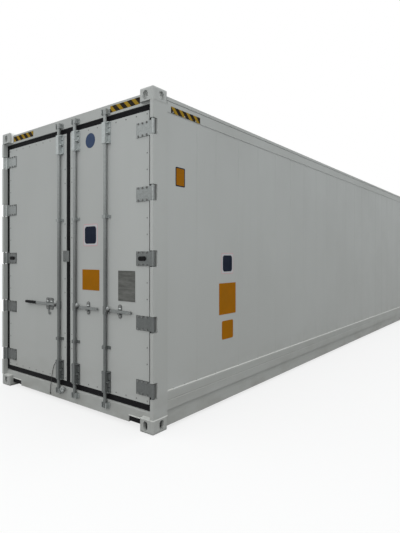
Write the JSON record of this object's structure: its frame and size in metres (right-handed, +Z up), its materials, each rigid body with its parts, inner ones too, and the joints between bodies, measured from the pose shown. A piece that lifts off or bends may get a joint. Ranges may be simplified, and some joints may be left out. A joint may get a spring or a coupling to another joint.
{
  "type": "insulated shipping container",
  "caption": "Long white insulated freight container with corner fittings, smooth side walls, and rear doors held by hinges and turning lock rods.",
  "frame": {"origin": "middle of the footprint at the underside of the lower corner fittings", "axes": "+X along the length towards the closed end, with the doors at -X; +Y towards the left door as seen from outside; +Z up"},
  "size_m": [12.192, 2.438, 2.896],
  "materials": {
    "frame_paint": "satin white paint on steel",
    "panel_paint": "smooth white coated sheet over foam",
    "galvanised_steel": "galvanised",
    "black_rubber": "matte",
    "floor_aluminium": "extruded",
    "floor_board": "coated underside",
    "plate_aluminium": "dull blank plate",
    "rope_fibre": "braided"
  },
  "bodies": {
    "box": {"upper_corner_fittings": "frame_paint", "lower_corner_fittings": "frame_paint", "left_rear_post": "frame_paint", "right_rear_post": "frame_paint", "left_front_post": "frame_paint", "right_front_post": "frame_paint", "door_header": "frame_paint", "door_sill": "frame_paint", "front_header": "frame_paint", "front_sill": "frame_paint", "left_top_rail": "frame_paint", "right_top_rail": "frame_paint", "left_bottom_rail": "frame_paint", "right_bottom_rail": "frame_paint", "kick_bands": "frame_paint", "left_side_wall": "panel_paint", "right_side_wall": "panel_paint", "front_wall": "panel_paint", "roof_panel": "panel_paint", "floor_panel": "floor_board", "floor_bars": "floor_aluminium", "cross_members": "frame_paint", "hinge_pins": "galvanised_steel", "upper_cam_keepers": "galvanised_steel", "lower_cam_keepers": "galvanised_steel"},
    "left_door": {"left_door_leaf": "panel_paint", "left_door_seal": "black_rubber", "left_hinge_blades": "galvanised_steel", "left_hinge_buffer": "black_rubber", "left_rod_guides": "galvanised_steel", "left_handle_catch": "galvanised_steel", "centre_lap_plate": "galvanised_steel", "tie_rope": "rope_fibre", "tie_rope_knot": "rope_fibre"},
    "right_door": {"right_door_leaf": "panel_paint", "right_door_seal": "black_rubber", "right_hinge_blades": "galvanised_steel", "right_hinge_buffer": "black_rubber", "right_rod_guides": "galvanised_steel", "right_handle_catches": "galvanised_steel", "data_plate": "plate_aluminium"},
    "left_rod": {"left_lock_rod": "galvanised_steel"},
    "left_lever": {"left_handle": "galvanised_steel", "left_handle_grip": "black_rubber"},
    "right_inner_rod": {"right_inner_lock_rod": "galvanised_steel"},
    "right_inner_lever": {"right_inner_handle": "galvanised_steel"},
    "right_outer_rod": {"right_outer_lock_rod": "galvanised_steel"},
    "right_outer_lever": {"right_outer_handle": "galvanised_steel"}
  },
  "joints": [
    {"name": "left_door_hinge", "type": "hinge", "parent": "box", "child": "left_door", "pos_m": [-6.076, 1.199, 1.4745], "axis": [0, 0, -1], "range_deg": [0, 260]},
    {"name": "right_door_hinge", "type": "hinge", "parent": "box", "child": "right_door", "pos_m": [-6.076, -1.199, 1.4745], "axis": [0, 0, 1], "range_deg": [0, 260]},
    {"name": "left_rod_turn", "type": "hinge", "parent": "left_door", "child": "left_rod", "pos_m": [-6.073, 0.132, 1.4745], "axis": [0, 0, -1], "range_deg": [-95, 0]},
    {"name": "right_inner_rod_turn", "type": "hinge", "parent": "right_door", "child": "right_inner_rod", "pos_m": [-6.073, -0.132, 1.4745], "axis": [0, 0, 1], "range_deg": [-95, 0]},
    {"name": "right_outer_rod_turn", "type": "hinge", "parent": "right_door", "child": "right_outer_rod", "pos_m": [-6.073, -0.587, 1.4745], "axis": [0, 0, 1], "range_deg": [-95, 0]},
    {"name": "left_handle_lift", "type": "hinge", "parent": "left_rod", "child": "left_lever", "pos_m": [-6.073, 0.18, 0.99], "axis": [1, 0, 0], "range_deg": [0, 30]},
    {"name": "right_inner_handle_lift", "type": "hinge", "parent": "right_inner_rod", "child": "right_inner_lever", "pos_m": [-6.073, -0.18, 0.99], "axis": [-1, 0, 0], "range_deg": [0, 30]},
    {"name": "right_outer_handle_lift", "type": "hinge", "parent": "right_outer_rod", "child": "right_outer_lever", "pos_m": [-6.073, -0.635, 0.99], "axis": [-1, 0, 0], "range_deg": [0, 30]}
  ]
}
